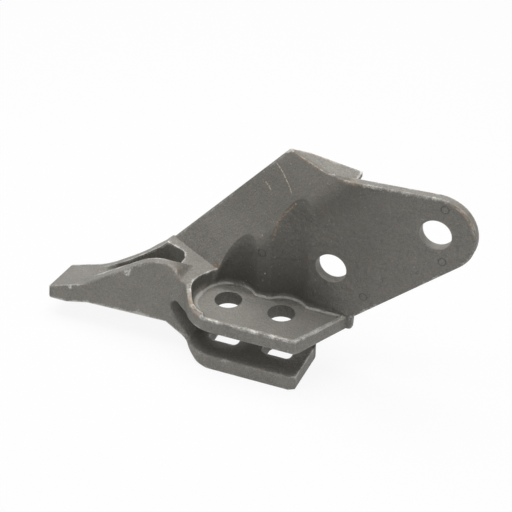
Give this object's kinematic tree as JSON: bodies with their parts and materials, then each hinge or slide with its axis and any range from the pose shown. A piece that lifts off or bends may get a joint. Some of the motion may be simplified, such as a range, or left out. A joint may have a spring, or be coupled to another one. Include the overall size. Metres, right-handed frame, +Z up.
{
  "type": "bucket side tooth",
  "caption": "One-piece cast side tooth for a digging bucket: a hollow-backed chisel nose, two ears that straddle the lip, a bevelled side blade and a bolted wing plate.",
  "frame": {"origin": "centre of the front lip bolt's hole, in the plane of its seat", "axes": "+X runs back from the tooth towards the wing plate's round end, +Y points out of the bucket, +Z is up along the lip bolts"},
  "size_m": [0.3387, 0.08, 0.1686],
  "materials": {
    "cast_steel": "fine-grained grey casting skin, lightly worn edges"
  },
  "bodies": {
    "root": {"side_tooth": "cast_steel"}
  },
  "joints": []
}
